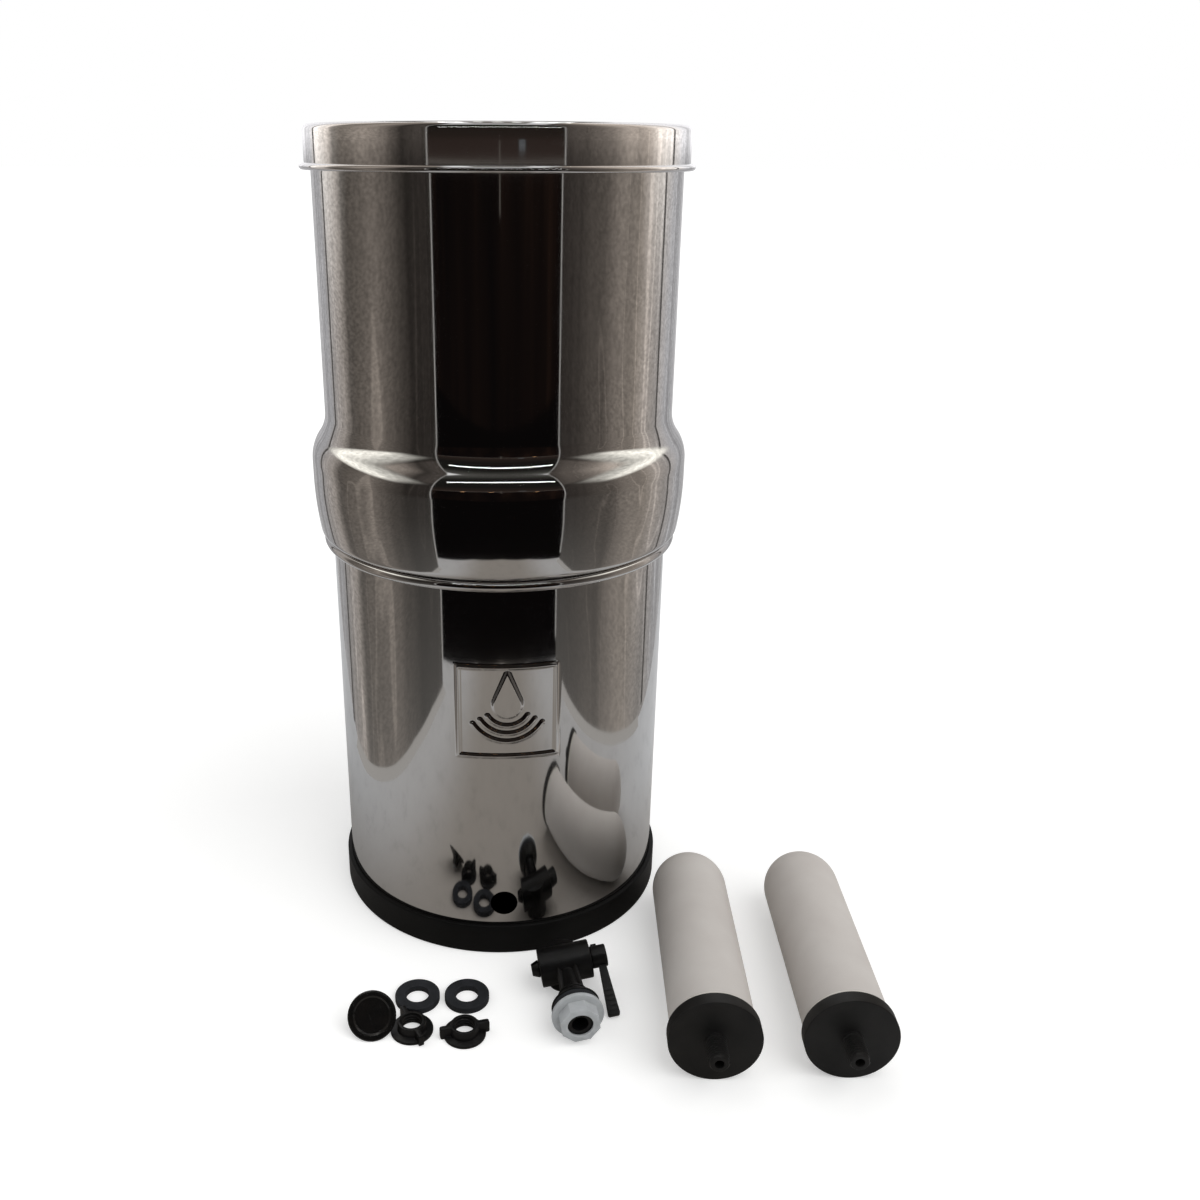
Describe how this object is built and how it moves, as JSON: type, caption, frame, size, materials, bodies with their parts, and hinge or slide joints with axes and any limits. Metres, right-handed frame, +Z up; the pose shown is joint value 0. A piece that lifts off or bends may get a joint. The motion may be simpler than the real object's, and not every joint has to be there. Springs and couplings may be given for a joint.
{
  "type": "gravity water filter",
  "caption": "Gravity water filter: stacked polished steel chambers with lid and rubber foot ring, and its ceramic candles, lever tap, knob, washers and wing nuts laid out beside it.",
  "frame": {"origin": "centre of the foot ring on the floor", "axes": "+Z up along the housing, -Y to the front where the tap hole is, +X to the right"},
  "size_m": [0.3259, 0.343, 0.4747],
  "materials": {
    "polished_steel": "mirror polished stainless steel sheet",
    "screw_steel": "plain steel screw",
    "foot_rubber": "satin moulded",
    "washer_rubber": "matte moulded",
    "tap_plastic": "satin moulded",
    "knob_plastic": "glossy moulded",
    "nut_nylon": "natural nylon, slightly translucent",
    "candle_cap_plastic": "satin moulded",
    "ceramic": "unglazed porous ceramic",
    "resin": "cast sealing resin",
    "carbon": "pressed carbon block"
  },
  "bodies": {
    "housing": {"lower_chamber": "polished_steel", "base_ring": "foot_rubber"},
    "upper_chamber": {"upper_chamber": "polished_steel"},
    "lid": {"lid": "polished_steel"},
    "lid_knob": {"lid_knob": "knob_plastic", "lid_knob_screw": "screw_steel"},
    "candle_1": {"candle_1_base": "candle_cap_plastic", "candle_1_seal": "resin", "candle_1_ceramic": "ceramic", "candle_1_core": "carbon"},
    "candle_2": {"candle_2_base": "candle_cap_plastic", "candle_2_seal": "resin", "candle_2_ceramic": "ceramic", "candle_2_core": "carbon"},
    "candle_washer_1": {"candle_washer_1": "washer_rubber"},
    "candle_washer_2": {"candle_washer_2": "washer_rubber"},
    "wing_nut_1": {"wing_nut_1": "tap_plastic"},
    "wing_nut_2": {"wing_nut_2": "tap_plastic"},
    "tap": {"tap_body": "tap_plastic", "tap_outer_washer": "washer_rubber", "tap_inner_washer": "washer_rubber"},
    "tap_valve": {"tap_plug": "tap_plastic", "tap_plug_o_rings": "washer_rubber", "tap_lever": "tap_plastic"},
    "tap_nut": {"tap_nut": "nut_nylon"}
  },
  "joints": [
    {"name": "upper_chamber_lift", "type": "slide", "parent": "housing", "child": "upper_chamber", "axis": [0, 0, 1], "range_m": [0, 0.25]},
    {"name": "lid_lift", "type": "slide", "parent": "upper_chamber", "child": "lid", "axis": [0, 0, 1], "range_m": [0, 0.15]},
    {"name": "lid_knob_lift", "type": "slide", "parent": "housing", "child": "lid_knob", "axis": [0, 0, 1], "range_m": [0, 0.25]},
    {"name": "candle_1_lift", "type": "slide", "parent": "housing", "child": "candle_1", "axis": [0, 0, 1], "range_m": [0, 0.25]},
    {"name": "candle_2_lift", "type": "slide", "parent": "housing", "child": "candle_2", "axis": [0, 0, 1], "range_m": [0, 0.25]},
    {"name": "candle_washer_1_lift", "type": "slide", "parent": "housing", "child": "candle_washer_1", "axis": [0, 0, 1], "range_m": [0, 0.25]},
    {"name": "candle_washer_2_lift", "type": "slide", "parent": "housing", "child": "candle_washer_2", "axis": [0, 0, 1], "range_m": [0, 0.25]},
    {"name": "wing_nut_1_draw", "type": "slide", "parent": "housing", "child": "wing_nut_1", "axis": [0, -1, 0], "range_m": [0, 0.25]},
    {"name": "wing_nut_2_lift", "type": "slide", "parent": "housing", "child": "wing_nut_2", "axis": [0, 0, 1], "range_m": [0, 0.25]},
    {"name": "tap_lift", "type": "slide", "parent": "housing", "child": "tap", "axis": [0, 0, 1], "range_m": [0, 0.25]},
    {"name": "tap_lever_turn", "type": "hinge", "parent": "tap", "child": "tap_valve", "pos_m": [0.0351, -0.1356, 0.01585], "axis": [0.9843, 0.0962, 0.1478], "range_deg": [-90, 0]},
    {"name": "tap_nut_turn", "type": "hinge", "parent": "tap", "child": "tap_nut", "pos_m": [0.03937, -0.17762, 0.01478], "axis": [0.101, -0.9946, -0.0255], "continuous": true}
  ]
}
